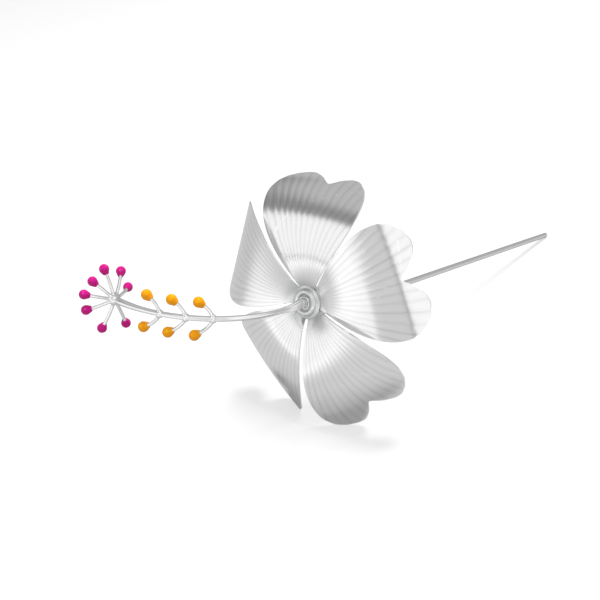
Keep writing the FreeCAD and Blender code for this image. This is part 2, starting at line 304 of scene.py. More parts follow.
# a darker copy of the silver for the cup, boss and bud: the darker colour is painted shade, the higher
# roughness is the finish
silverCup = {
    "clean": (0.86, 0.86, 0.86, 1),
    "dull": (0.74, 0.75, 0.755, 1),
    "foldShade": (0.4, 0.41, 0.42, 1),
    "foldShadeStrength": 0.7,
    # painted shade where the cup is seen edge on
    "rim": (0.6, 0.61, 0.62, 1),
    "roughLow": 0.22,
    "roughHigh": 0.36,
    "marksAcross": 0.6,
    "marksAlong": 3.0,
    "marksDepth": 0.000004,
    "grainDepth": 0.000012,
}
silverSurface = {
    "cloudScale": 260.0,
    "edgeMaskFrom": 0.52,
    "edgeMaskTo": 0.64,
    # lighter edges: partly where the silver is worn, partly a painted highlight
    "edgeWearAndSheenColor": (0.99, 0.99, 0.98, 1),
    "wornRough": -0.06,  # worn edges are glossier
    "marksDulling": 0.5,
    "rimShadePower": 2.6,  # how close to edge on the painted shade of a wire or the cup sets in
    "grainScale": 4200.0,
    "grainStrength": 0.3,
}
magentaEnamel = {
    "clean": (0.7, 0.008, 0.27, 1),
    "dull": (0.5, 0.004, 0.19, 1),
    "rubbedAndSheen": (0.86, 0.06, 0.42, 1),
    "roughLow": 0.14,
    "roughHigh": 0.28,
}
orangeEnamel = {
    "clean": (1.0, 0.42, 0.001, 1),
    "dull": (0.97, 0.33, 0.001, 1),
    "rubbedAndSheen": (1.0, 0.55, 0.005, 1),
    "roughLow": 0.14,
    "roughHigh": 0.28,
}
enamelSurface = {
    "cloudScale": 620.0,
    "edgeMaskFrom": 0.51,
    "edgeMaskTo": 0.6,
    "specular": 0.12,
    "coat": 0.1,
    "coatRough": 0.07,
    "pitsScale": 1500.0,
    "pitsStrength": 0.25,
    "pitsDepth": 0.00004,
}


def startMaterial(name):
    material = bpy.data.materials.new(name)
    material.use_nodes = True
    tree = material.node_tree
    tree.nodes.clear()
    out = makeNode(tree, "ShaderNodeOutputMaterial")
    shader = makeNode(tree, "ShaderNodeBsdfPrincipled")
    tree.links.new(shader.outputs["BSDF"], out.inputs["Surface"])
    return material, tree, shader


def placeGroup(tree, group, **values):
    node = makeNode(tree, "ShaderNodeGroup", node_tree=group)
    for label, value in values.items():
        node.inputs[label.replace("_", " ")].default_value = value
    return node


def mathNode(tree, operation, first, second=None):
    node = makeNode(tree, "ShaderNodeMath", operation=operation)
    for place, value in enumerate((first, second)):
        if isinstance(value, (int, float)):
            node.inputs[place].default_value = value
        elif value is not None:
            tree.links.new(value, node.inputs[place])
    return node.outputs["Value"]


def mixColor(tree, factor, first, second, strength=1.0):
    # first is a socket, second is a colour
    if strength != 1.0:
        factor = mathNode(tree, "MULTIPLY", factor, strength)
    mix = makeNode(tree, "ShaderNodeMix", data_type="RGBA")
    mix.inputs["B"].default_value = second
    tree.links.new(factor, mix.inputs["Factor"])
    tree.links.new(first, mix.inputs["A"])
    return mix.outputs["Result"]


def silver(name, finish, foldLayer):
    material, tree, shader = startMaterial(name)
    shader.inputs["Metallic"].default_value = 1.0
    cloud = placeGroup(
        tree,
        tarnish,
        Scale=silverSurface["cloudScale"],
        Clean=finish["clean"],
        Dull=finish["dull"],
        Rough_Low=finish["roughLow"],
        Rough_High=finish["roughHigh"],
    )
    marks = placeGroup(tree, polishMarks, Across=finish["marksAcross"], Along=finish["marksAlong"])
    edgeAndCreviceMasks = placeGroup(tree, edgeWearSheenAndShade, Low=silverSurface["edgeMaskFrom"], High=silverSurface["edgeMaskTo"])
    if foldLayer:
        hollowShade = makeNode(tree, "ShaderNodeAttribute", attribute_name="foldShade").outputs["Fac"]
        # painted shade close to the collar
        shade = makeNode(tree, "ShaderNodeAttribute", attribute_name="root").outputs["Fac"]
        shadeColor = finish["root"]
    else:
        # painted shade in the crevices of wires and the cup
        hollowShade = edgeAndCreviceMasks.outputs["HollowShade"]
        facing = makeNode(tree, "ShaderNodeLayerWeight")
        facing.inputs["Blend"].default_value = 0.5
        shade = mathNode(tree, "POWER", facing.outputs["Facing"], silverSurface["rimShadePower"])
        shadeColor = finish["rim"]
    # painted shade: pleat grooves on the petals, crevices on wires and the cup
    color = mixColor(tree, hollowShade, cloud.outputs["Color"], finish["foldShade"], finish["foldShadeStrength"])
    color = mixColor(tree, marks.outputs["Mask"], color, finish["dull"], silverSurface["marksDulling"])
    # lighter edges: partly where the silver is worn, partly a painted highlight
    color = mixColor(tree, edgeAndCreviceMasks.outputs["EdgeWearAndSheen"], color, silverSurface["edgeWearAndSheenColor"])
    # painted shade: close to the collar on the petals, and where wires and the cup are seen edge on
    color = mixColor(tree, shade, color, shadeColor)
    tree.links.new(color, shader.inputs["Base Color"])
    rough = makeNode(tree, "ShaderNodeMath", operation="MULTIPLY_ADD")
    rough.inputs[1].default_value = silverSurface["wornRough"]
    tree.links.new(edgeAndCreviceMasks.outputs["EdgeWearAndSheen"], rough.inputs[0])
    tree.links.new(cloud.outputs["Roughness"], rough.inputs[2])
    tree.links.new(rough.outputs["Value"], shader.inputs["Roughness"])
    lines = makeNode(tree, "ShaderNodeBump")
    lines.inputs["Distance"].default_value = finish["marksDepth"]
    grain = makeNode(tree, "ShaderNodeTexNoise")
    grain.inputs["Scale"].default_value = silverSurface["grainScale"]
    grain.inputs["Detail"].default_value = 2.0
    fine = makeNode(tree, "ShaderNodeBump")
    fine.inputs["Strength"].default_value = silverSurface["grainStrength"]
    fine.inputs["Distance"].default_value = finish["grainDepth"]
    tree.links.new(marks.outputs["Height"], lines.inputs["Height"])
    tree.links.new(grain.outputs["Fac"], fine.inputs["Height"])
    tree.links.new(lines.outputs["Normal"], fine.inputs["Normal"])
    tree.links.new(fine.outputs["Normal"], shader.inputs["Normal"])
    return material


def enamel(name, finish):
    material, tree, shader = startMaterial(name)
    cloud = placeGroup(
        tree,
        tarnish,
        Scale=enamelSurface["cloudScale"],
        Clean=finish["clean"],
        Dull=finish["dull"],
        Rough_Low=finish["roughLow"],
        Rough_High=finish["roughHigh"],
    )
    edgeAndCreviceMasks = placeGroup(tree, edgeWearSheenAndShade, Low=enamelSurface["edgeMaskFrom"], High=enamelSurface["edgeMaskTo"])
    # lighter on the edges: partly where the enamel is worn, partly a painted highlight
    color = mixColor(tree, edgeAndCreviceMasks.outputs["EdgeWearAndSheen"], cloud.outputs["Color"], finish["rubbedAndSheen"])
    tree.links.new(color, shader.inputs["Base Color"])
    tree.links.new(cloud.outputs["Roughness"], shader.inputs["Roughness"])
    shader.inputs["Specular IOR Level"].default_value = enamelSurface["specular"]
    shader.inputs["Coat Weight"].default_value = enamelSurface["coat"]
    shader.inputs["Coat Roughness"].default_value = enamelSurface["coatRough"]
    pits = makeNode(tree, "ShaderNodeTexNoise")
    pits.inputs["Scale"].default_value = enamelSurface["pitsScale"]
    bump = makeNode(tree, "ShaderNodeBump")
    bump.inputs["Strength"].default_value = enamelSurface["pitsStrength"]
    bump.inputs["Distance"].default_value = enamelSurface["pitsDepth"]
    tree.links.new(pits.outputs["Fac"], bump.inputs["Height"])
    tree.links.new(bump.outputs["Normal"], shader.inputs["Normal"])
    return material


sheetSilver = silver("satinSilverSheet", silverSheet, True)
wireSilver = silver("polishedSilverWire", silverWire, False)
cupSilverShaded = silver("roughSilverPaintedShade", silverCup, False)
magenta = enamel("magentaEnamel", magentaEnamel)
orange = enamel("orangeEnamel", orangeEnamel)
print("materials ready")


def finishPiece(piece, material, slot, *nodes):
    piece.data.materials.clear()
    piece.data.materials.append(material)
    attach(piece, "root")
    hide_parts(*nodes)
    return piece


petalShape = {
    "length": 34.6,
    "halfAngle": 35.8,
    "sheet": 0.42,
    "rootRadius": 3.14,
    "sideShare": 0.44,
    "lobePower": 4.3,
    "notchDepth": 0.158,
    "notchReach": 0.337,
    "notchRound": 0.03,
    "rootTaper": 0.14,
    "rootTaperReach": 7.0,
    "rootSlope": 19.7,
    "rimSlope": -76.4,
    "curlPower": 1.47,
    "rootTrough": -0.054,
    "rootTroughReach": 7.0,
    "rimTrough": 0.003,
    "settleLength": 3.0,
}
pleats = {
    "count": 15,
    "depth": 0.005,  # height of a pleat as a share of its width
    "start": 4.2,  # mm from the axis, where the pleats begin
    "full": 12.0,
    "rimFade": 0.6,  # how much is left at the very rim
    "unevenness": 0.4,
    "scallop": 0.12,  # mm, the rim follows the pleats
    "collarShade": 0.75,  # painted shade close to the collar
    "collarShadeTo": 8.5,  # mm from the axis, where it has faded
    "collarShadeFade": 5.5,
}
# name, turn, pitch, roll, length factor, shift of the notch, notch depth factor,
# width factor, extra bend across, extra curl
petalList = (
    ("petal_top", 0.1, -2.9, -0.1, 1.026, -0.127, 0.705, 0.998, 0.0013, -1.0),
    ("petal_right", -0.7, -4.5, 6.6, 1.003, 0.0, 1.116, 0.974, -0.005, -1.1),
    ("petal_lower", 2.6, 2.6, 2.7, 1.02, 0.012, 0.881, 0.994, -0.0002, 2.7),
    ("petal_lower_left", -2.0, -7.1, 6.9, 1.0, 0.003, 0.985, 1.009, 0.0044, 5.3),
    ("petal_left", -2.5, 2.0, -8.1, 0.995, -0.089, 0.898, 0.969, -0.0021, -11.5),
)


class PetalForm:
    def __init__(self, spec, turn):
        self.name, extra, pitch, roll, self.grow, self.shift = spec[:6]
        self.notch, self.width, self.cup, curl = spec[6:]
        self.turn = math.radians(turn + extra)
        self.pitch = math.radians(pitch)
        self.roll = math.radians(roll)
        self.curl = math.radians(curl)
        self.along = np.arange(0.0, 1.35 * petalShape["length"], 0.1)
        slope = self.slope(self.along[:-1] + 0.05)
        self.r = petalShape["rootRadius"] + np.concatenate([[0.0], np.cumsum(0.1 * np.cos(slope))])
        self.h = np.concatenate([[0.0], np.cumsum(0.1 * np.sin(slope))])

    def slope(self, along):
        start = math.radians(petalShape["rootSlope"])
        end = math.radians(petalShape["rimSlope"]) + self.curl
        share = np.maximum(0.0, along) / (1.02 * petalShape["length"] * self.grow)
        own = self.pitch * ease(along / petalShape["settleLength"])
        return start + own + (end - start) * share ** petalShape["curlPower"]

    def flat(self, s, t):
        root, taper = petalShape["rootRadius"], petalShape["rootTaper"]
        lobe = np.maximum(0.0, 1 - np.abs(t) ** petalShape["lobePower"])
        outline = petalShape["sideShare"] + (1 - petalShape["sideShare"]) * np.sqrt(lobe)
        aside = np.hypot(t - self.shift, petalShape["notchRound"]) - petalShape["notchRound"]
        notch = np.maximum(0.0, 1 - aside / petalShape["notchReach"]) ** 1.5
        reach = petalShape["length"] * self.grow * (outline - petalShape["notchDepth"] * self.notch * notch)
        rho = root + s * (reach - root)
        angle = t * math.radians(petalShape["halfAngle"]) * self.width
        angle = angle * (1 - taper * np.exp((root - rho) / petalShape["rootTaperReach"]))
        return rho, angle

    def bent(self, along, across):
        root = petalShape["rootRadius"]
        slope = self.slope(along)
        r = np.where(along < 0, root + along * np.cos(slope), np.interp(along, self.along, self.r))
        h = np.where(along < 0, along * np.sin(slope), np.interp(along, self.along, self.h))
        fade = np.exp(-np.maximum(0.0, along) / petalShape["rootTroughReach"])
        trough = petalShape["rimTrough"] + self.cup + petalShape["rootTrough"] * fade + 1e-9
        side = np.sin(trough * across) / trough
        lift = -(1 - np.cos(trough * across)) / trough
        x = r - root - np.sin(slope) * lift
        z = h + np.cos(slope) * lift
        first = float(self.slope(np.array([petalShape["settleLength"]]))[0])
        axis = np.array([math.cos(first), 0.0, math.sin(first)])
        roll = self.roll * ease(along / petalShape["settleLength"])
        point = np.stack([x, side, z], -1)
        c, s = np.cos(roll)[..., None], np.sin(roll)[..., None]
        point = point * c + np.cross(axis, point) * s + axis * (point @ axis)[..., None] * (1 - c)
        x = point[..., 0] + root
        ct, st = math.cos(self.turn), math.sin(self.turn)
        return np.stack([x * ct - point[..., 1] * st, x * st + point[..., 1] * ct, point[..., 2]], -1)


def petalPiece(spec, index):
    form = PetalForm(spec, -72.0 * index)
    rows, half = 120, 150
    share = 0.55 * ease(np.linspace(0, 1, half + 1)) + 0.45 * np.linspace(0, 1, half + 1)
    left = -1 + (form.shift + 1) * share
    right = (1 + (form.shift - 1) * share)[::-1]
    t = np.concatenate([left, right[1:]])
    s = np.linspace(0, 1, rows) ** 0.92
    sGrid, tGrid = np.meshgrid(s, t, indexing="ij")
    rng = np.random.default_rng(11 + index)
    count = pleats["count"]
    phase = (tGrid + 1) / 2 * count
    phase = phase + np.interp((tGrid + 1) / 2, np.linspace(0, 1, 7), rng.uniform(-0.2, 0.2, 7))
    phase = np.clip(phase, 0, count - 1e-6)
    arch = np.abs(np.sin(np.pi * phase))
    ridge = arch**2 - 0.5
    uneven = 1 + pleats["unevenness"] * rng.uniform(-1, 1, count + 2)
    heights = np.interp(phase, np.arange(count + 2), uneven)
    rho, angle = form.flat(sGrid, tGrid)
    rho = rho + pleats["scallop"] * (arch - 0.6) * sGrid**6
    along, across = rho * np.cos(angle) - petalShape["rootRadius"], rho * np.sin(angle)
    small = 0.04
    out = form.bent(along + small, across) - form.bent(along - small, across)
    over = form.bent(along, across + small) - form.bent(along, across - small)
    normal = np.cross(out, over)
    normal /= np.linalg.norm(normal, axis=-1, keepdims=True)
    width = rho * 2 * math.radians(petalShape["halfAngle"]) / count
    fade = ease((rho - pleats["start"]) / (pleats["full"] - pleats["start"]))
    fade = fade * (1 - (1 - pleats["rimFade"]) * ease((sGrid - 0.8) / 0.2))
    offset = pleats["depth"] * width * ridge * heights * fade
    points = form.bent(along, across) + normal * offset[..., None]
    piece = gridMesh("pleated_" + form.name, points, (38.0, 34.0), closeAcross=False)
    # painted shade in the bottom of each pleat
    layer = piece.data.attributes.new("foldShade", "FLOAT", "POINT")
    deep = np.clip(1 - arch, 0, 1) ** 1.6 * heights * np.clip(fade + 0.25, 0, 1)
    layer.data.foreach_set("value", deep.ravel())
    # painted shade close to the collar
    collarShadeLayer = piece.data.attributes.new("root", "FLOAT", "POINT")
    close = ease((pleats["collarShadeTo"] - rho) / pleats["collarShadeFade"])
    collarShadeLayer.data.foreach_set("value", (pleats["collarShade"] * close).ravel())
    thick = piece.modifiers.new("sheet", "SOLIDIFY")
    thick.thickness = petalShape["sheet"] * mm
    thick.offset = 0.0
    thick.use_even_offset = True
    soft = piece.modifiers.new("edge", "BEVEL")
    soft.width = 0.1 * mm
    soft.segments = 2
    soft.limit_method = "ANGLE"
    soft.angle_limit = math.radians(50)
    return finishPiece(piece, sheetSilver, "silver_satin", form.name)


for index, spec in enumerate(petalList):
    petalPiece(spec, index)
print("petals ready")

centreCup = {
    "bore": 1.27,
    "spigotRadius": 3.0,
    "spigotEnd": -2.4,
    "footRadius": 4.35,  # the solder runs out onto the petals
    "footHeight": 0.55,
    "ringRadius": 2.75,
    "ringTube": 0.7,
    "ringHeight": 1.0,
    "floor": 1.0,
    "lopsided": 0.12,  # mm, the ring was bent by hand
}
boss = {"radius": 1.75, "height": 1.75, "bore": 1.27, "crown": 0.24}


def cupPiece():
    cup = centreCup
    arc = np.radians(np.linspace(0, 180, 15))
    tube, high = cup["ringTube"], cup["ringHeight"]
    dome = [(cup["ringRadius"] + tube * math.cos(a), high + tube * math.sin(a)) for a in arc]
    bore, rear = cup["bore"], cup["spigotEnd"]
    skirt = smoothLine(
        [
            (cup["footRadius"], cup["footHeight"]),
            (cup["footRadius"] - 0.25, cup["footHeight"] + 0.12),
            (cup["footRadius"] - 0.6, cup["footHeight"] + 0.26),
            (cup["ringRadius"] + cup["ringTube"] + 0.02, cup["ringHeight"] - 0.04),
        ],
        8,
    )
    recess = smoothLine(
        [
            (cup["ringRadius"] - cup["ringTube"] - 0.01, cup["ringHeight"] - 0.1),
            (cup["ringRadius"] - cup["ringTube"] - 0.08, cup["floor"] + 0.1),
            (cup["ringRadius"] - cup["ringTube"] - 0.2, cup["floor"] + 0.01),
        ],
        6,
    )
    rows = [(bore, rear), (cup["spigotRadius"] - 0.1, rear), (cup["spigotRadius"], rear + 0.1)]
    rows += [(cup["spigotRadius"], 0.25), *skirt, *dome, *recess, (bore, cup["floor"])]

    def bend(radius, height, angle):
        high = np.clip(height, 0, 1)
        wave = cup["lopsided"] * high * (radius > bore + 0.1)
        return radius + 0.5 * wave * np.cos(angle * 2 + 0.6), height + wave * np.cos(angle - 1.1)

    piece = lathe("centre_cup", rows, (0, 0, 0), (0, 0, 1), 96, bend, closeAlong=True)
    return finishPiece(piece, cupSilverShaded, "silver_polished", "collar_cup")


def bossPiece():
    shoulder = boss["height"] - boss["crown"]
    half = (boss["radius"] - boss["bore"]) / 2
    arc = np.radians(np.linspace(0, 180, 11))
    crown = [(boss["bore"] + half + half * math.cos(a), shoulder + boss["crown"] * math.sin(a)) for a in arc]
    rows = [(boss["bore"], 0.6), (boss["radius"], 0.6), (boss["radius"] + 0.02, 1.2)]
    rows += [*crown]

    def dent(radius, height, angle):
        return radius + 0.02 * np.sin(3 * angle) * (height > 0.8), height

    piece = lathe("small_boss", rows, (0, 0, 0), (0, 0, 1), 72, dent, closeAlong=True)
    return finishPiece(piece, cupSilverShaded, "silver_polished", "column_ferrule")


cupPiece()
bossPiece()

bud = {
    "radius": 4.1,
    "rim": -0.2,
    "boreRadius": 3.02,
    "boreEnd": -2.42,
    "neck": (-3.0, -1.3, -12.0),
    "neckRadius": 1.35,
    "shape": ((0, 1.0), (0.12, 0.97), (0.3, 0.82), (0.5, 0.6), (0.72, 0.42), (0.88, 0.35), (1.0, 0.33)),
    "sepals": 5,
    "sepalRise": 0.07,
}
shank = {
    "radius": 0.8,
    "length": 113.0,
    "leanUp": 1.1,
    "leanSide": 0.5,
    "tipRound": 0.22,
}


def shankWay():
    up, side = (math.tan(math.radians(shank[key])) for key in ("leanUp", "leanSide"))
    return unit((up, side, -1.0))


def budPiece():
    shares = np.linspace(0, 1, 70)
    keys = smoothLine(bud["shape"], 200)
    width = np.interp(shares, keys[:, 0], keys[:, 1]) * bud["radius"]
    neck = np.array(bud["neck"])
    centres = np.stack([neck[0] * ease(shares), neck[1] * ease(shares), neck[2] * shares], -1)
    centres[:, 2] += bud["rim"] * (1 - shares)
    front = [(0.01, bud["boreEnd"]), (bud["boreRadius"], bud["boreEnd"]), (bud["boreRadius"], -0.5)]
    front += [(bud["radius"] - 0.12, bud["rim"] - 0.03)]
    rear = [(bud["neckRadius"] - 0.08, 0.12), (bud["neckRadius"] - 0.3, 0.2), (0.79, 0.1), (0.01, 0.0)]
    path = [(0, 0, h) for _, h in front] + [tuple(c) for c in centres]
    path += [tuple(neck + shankWay() * h) for _, h in rear]
    radii = [r for r, _ in front] + list(width) + [r for r, _ in rear]
    path, radii = np.array(path, float), np.array(radii)
    angle = np.linspace(0, 2 * math.pi, 100, endpoint=False)
    leaf = np.abs(np.cos(angle * bud["sepals"] / 2)) ** 0.6 - 0.5
    leafy = ease(shares / 0.06) * ease((0.8 - shares) / 0.5)
    tip = np.concatenate([np.zeros(len(front)), leafy, np.zeros(len(rear))])
    swell = 1 + bud["sepalRise"] * tip[:, None] * leaf
    ring = np.stack([np.cos(angle), np.sin(angle), 0 * angle], -1)
    grid = path[:, None] + (radii[:, None] * swell)[..., None] * ring
    piece = weld(gridMesh("bud_cup", grid, (26.0, 18.0)))
    return finishPiece(piece, cupSilverShaded, "silver_polished", "calyx_cup")


def shankPiece():
    way, neck = shankWay(), np.array(bud["neck"])
    along = np.concatenate([np.linspace(-1.5, 1.5, 16), np.linspace(3, shank["length"] - 1, 110)])
    radius = shank["radius"] + 0.25 * np.exp(-np.maximum(0, along) / 0.35)
    radius = radius + 0.004 * np.sin(along * 0.9) + 0.003 * np.sin(along * 2.3)
    bow = np.radians(np.linspace(0, 90, 8))
    end = shank["length"] - shank["tipRound"] + shank["tipRound"] * np.sin(bow)
    along = np.concatenate([along, end])
    radius = np.concatenate([radius, shank["radius"] - shank["tipRound"] * (1 - np.cos(bow))])
    piece = sweep("long_shank", neck + along[:, None] * way, radius, 48)
    return finishPiece(piece, wireSilver, "silver_polished", "pin_stem")


budPiece()
shankPiece()
print("cup, bud and shank ready")

columnShape = {
    "radius": 0.68,
    "footRadius": 1.25,
    "flare": 9.0,
    "foot": -1.2,
    "straight": 1.3,
    "length": 53.5,
    "bendFoot": 25.0,
    "bendEnd": 42.0,
    "bendTurn": 83.2,
    "lean": 8.0,
    "leanTurn": -159.0,
    "strands": 5,  # it looks like a bundle of wires soldered together
    "strandDepth": 0.16,
    "strandTwist": 0.035,  # radians per mm
    "endSwell": 0.3,  # the arms run into its end
}
stamenShape = {
    "junctions": (25.2, 31.9, 38.7),
    "reach": 4.4,
    "forward": (3.6, 4.8),
    "wire": 0.43,
    "fillet": 0.4,
    "bead": 1.36,
}
stigmaShape = {
    "hub": 1.45,
    "armRoot": 0.32,
    "fillet": 0.32,
    "bead": 1.25,
    # turn around the column's end, reach outwards, reach forwards
    "arms": (
        (-95.2, 7.54, 2.8),
        (-51.4, 7.08, 2.8),
        (-5.4, 6.37, 2.8),
        (63.4, 9.34, 1.5),
        (106.1, 8.41, 2.8),
        (165.7, 6.97, 2.8),
        (-160.0, 7.52, 2.8),
        (-129.5, 6.8, 2.8),
    ),
}
beadShape = {"seat": 0.35, "neck": 1.2, "coneAngle": 25.0, "unevenness": 0.025, "wireSeat": 1.25}


class ColumnLine:
    def __init__(self):
        shape = columnShape
        lean = math.radians(shape["lean"])
        foot = np.array([0, 0, math.cos(lean)]) + spin(shape["leanTurn"]) * math.sin(lean)
        aside = spin(shape["bendTurn"])
        aside = unit(aside - foot * foot.dot(aside))
        self.binormal = np.cross(foot, aside)
        self.step = 0.05
        point, angle, along = np.array([0, 0, shape["straight"]]), 0.0, 0.0
        straight = np.array([0, 0, 1.0])
        self.points, self.ways = [point], [straight]
        while along < shape["length"]:
            share = along / shape["length"]
            angle += ((1 - share) / shape["bendFoot"] + share / shape["bendEnd"]) * self.step
            way = foot * math.cos(angle) + aside * math.sin(angle)
            settle = float(ease(along / 3))
            way = unit(straight * (1 - settle) + way * settle)
            point = point + way * self.step
            along += self.step
            self.points.append(point)
            self.ways.append(way)

    def at(self, along):
        row = min(len(self.points) - 1, int(round(along / self.step)))
        return self.points[row], self.ways[row]


columnLine = ColumnLine()


def columnPiece():
    shape = columnShape
    straight = [(0, 0, h) for h in np.linspace(shape["foot"], shape["straight"], 18)[:-1]]
    path = np.concatenate([straight, np.array(columnLine.points)[::4]])
    along = np.concatenate([[0.0], np.cumsum(np.linalg.norm(np.diff(path, axis=0), axis=1))])
    bend = along - (shape["straight"] - shape["foot"])
    radius = shape["footRadius"] + (shape["radius"] - shape["footRadius"]) * ease(bend / shape["flare"])
    radius = radius * (1 + shape["endSwell"] * ease((bend - 41) / 11))
    total = along[-1]

    def strands(share, angle):
        far = share * total
        deep = shape["strandDepth"] * ease((far - 2.5) / 3) * (1 - 0.75 * ease((far - 8) / 34))
        wave = np.abs(np.cos((angle + shape["strandTwist"] * far) * shape["strands"] / 2))
        return 1 + deep * (wave**0.8 - 0.7)

    piece = sweep("strand_column", path, radius, 120, strands)
    return finishPiece(piece, wireSilver, "silver_polished", "style_column")


def wirePath(start, mid, end, beadRadius):
    way = unit(end - mid)
    tip = end - way * (beadShape["seat"] * beadRadius)
    seat = tip - way * beadShape["wireSeat"]
    u = np.linspace(0, 1, 56)[:, None]
    curve = start * (1 - u) ** 2 + mid * 2 * u * (1 - u) + seat * u**2
    return np.concatenate([curve, seat + way * np.linspace(0.2, beadShape["wireSeat"], 5)[:, None]]), way


def beadPiece(name, centre, way, radius, material, slot, node, seed):
    rng = np.random.default_rng(seed)
    lean = math.radians(beadShape["coneAngle"])
    low = -beadShape["neck"] * radius
    leave = (radius * math.cos(lean), -radius * math.sin(lean))
    narrow = (radius / math.sin(lean) + low) * math.tan(lean)
    ball = [(radius * math.cos(a), radius * math.sin(a)) for a in np.linspace(-lean, math.pi / 2, 34)]
    ball[-1] = (0.0, radius)
    inset = 0.1 * radius
    rows = [(0.0, low + inset), (stamenShape["wire"] + 0.01, low + 0.5 * inset)]
    rows += [(0.55 * narrow + 0.3, low), (narrow - 0.02, low + 0.02), (narrow + 0.01, low + 0.1)]
    rows += [tuple(np.array((narrow, low)) * (1 - q) + np.array(leave) * q) for q in np.linspace(0.15, 0.9, 9)]
    rows += ball
    spread, twist = rng.uniform(0.4, 1, 3), rng.uniform(0, 2 * math.pi, 3)

    def lumps(r, h, angle):
        share = r / radius
        bump = sum(spread[i] * np.sin((i + 1) * angle + twist[i] + 1.7 * h / radius) for i in range(3))
        wider = 1 + beadShape["unevenness"] * 0.5 * bump * share
        return r * wider, h * (1 + 0.012 * np.sin(angle + twist[0]) * share)

    piece = lathe(name, rows, centre, way, 64, lumps)
    piece.visible_glossy = False  # keeps coloured rings off the petals
    return finishPiece(piece, material, slot, node)


def stamenPieces():
    count = 0
    for along in stamenShape["junctions"]:
        start, way = columnLine.at(along)
        for side, forward in zip((-1, 1), stamenShape["forward"]):
            count += 1
            reach = side * stamenShape["reach"] * columnLine.binormal
            end = start + way * forward + reach
            mid = start + way * (0.25 * forward) + 0.55 * reach
            path, leave = wirePath(start, mid, end, stamenShape["bead"])
            far = np.linalg.norm(path - start, axis=1)
            radius = stamenShape["wire"] + stamenShape["fillet"] * np.exp(-np.maximum(0, far - 0.55) / 0.35)
            piece = sweep(f"stamen_curve_{count}", path, radius, 32)
            finishPiece(piece, wireSilver, "silver_polished", f"stamen_wire_{count}")
            name, node = f"orange_drop_{count}", f"stamen_bead_{count}"
            beadPiece(name, end, leave, stamenShape["bead"], orange, "enamel_orange", node, 40 + count)


def stigmaPieces():
    start, way = columnLine.at(columnShape["length"])
    across = np.cross(columnLine.binormal, way)
    rng = np.random.default_rng(5)
    spread, twist = rng.uniform(0.3, 1, 6), rng.uniform(0, 2 * math.pi, 6)

    def hammered(r, h, angle):
        share = r / stigmaShape["hub"]
        dents = sum(spread[i] * np.sin((i + 2) * angle + twist[i] + (i - 2) * 1.4 * h) for i in range(6))
        return r * (1 + 0.012 * dents * share), h

    hub = stigmaShape["hub"]
    rows = [(hub * math.cos(a), hub * math.sin(a)) for a in np.linspace(-math.pi / 2, math.pi / 2, 40)]
    rows[0], rows[-1] = (0.0, -hub), (0.0, hub)
    piece = lathe("hammered_hub", rows, start, way, 72, hammered)
    finishPiece(piece, wireSilver, "silver_polished", "stigma_hub")
    for count, (turn, reach, forward) in enumerate(stigmaShape["arms"], 1):
        angle = math.radians(turn)
        aside = across * math.cos(angle) + columnLine.binormal * math.sin(angle)
        end = start + aside * reach + way * forward
        mid = start + aside * (0.5 * reach) + way * (0.25 * forward)
        path, leave = wirePath(start, mid, end, stigmaShape["bead"])
        far = np.linalg.norm(path - start, axis=1)
        radius = stigmaShape["armRoot"] + (stamenShape["wire"] - stigmaShape["armRoot"]) * ease(far / 2.8)
        radius = radius + stigmaShape["fillet"] * np.exp(-np.maximum(0, far - hub + 0.1) / 0.25) * (far > 0.6)
        piece = sweep(f"arm_curve_{count}", path, radius, 32)
        finishPiece(piece, wireSilver, "silver_polished", f"stigma_arm_{count}")
        name, node = f"magenta_drop_{count}", f"stigma_bead_{count}"
        beadPiece(name, end, leave, stigmaShape["bead"], magenta, "enamel_magenta", node, 60 + count)


columnPiece()
stamenPieces()
stigmaPieces()
print("column, stamens and stigma ready")

studio = {
    "floorColor": (0.38, 0.38, 0.38, 1),
    "floorRoughness": 0.42,
    "floorSpecular": 0.35,
    "floorGlow": 0.54,  # keeps the floor white to the eye
    "reflectedFloorGlow": (0.08, 0.5),  # painted glow on the floor that only the silver's reflections see, near and far
    "reflectedGlowAzimuth": 8,  # the side on which it grows, in degrees
    "reflectedGlowReach": (0.055, 0.12),  # m from under the flower
    "roomLow": 0.48,
    "roomHigh": 0.5,
    "backdrop": 1.02,  # the room as the camera sees it
}
# azimuth, distance, middle height, width, height, tilt upwards (m, degrees), radiance
lamps = {
    "softKey": (168, 0.36, 1.12, 0.5, 0.5, 74, 16.0),
    "frontFill": (43, 0.8, 0.8, 0.9, 0.9, 45, 0.5),
}
# what the silver reflects, in degrees:
# azimuth, elevation, width, height, softness at the sides, softness above, radiance
softPanels = (
    (-66, 37.5, 100, 17, 6.0, 5.0, 0.25),  # dark edge over the side panel
    (50, 54, 110, 52, 4.0, 4.0, 0.95),  # overhead panel on the camera's side
    (25, 8, 50, 30, 1.5, 1.5, 0.63),
    (50.5, 8, 4, 34, 1.2, 1.0, 0.24),  # dark edge of the next panel
    (75, 10, 45, 34, 1.5, 1.5, 1.0),
    (-31, 4, 62, 58, 1.5, 2.5, 0.97),  # side panel
    (-84, 8, 34, 44, 7.0, 3.0, 0.44),
)


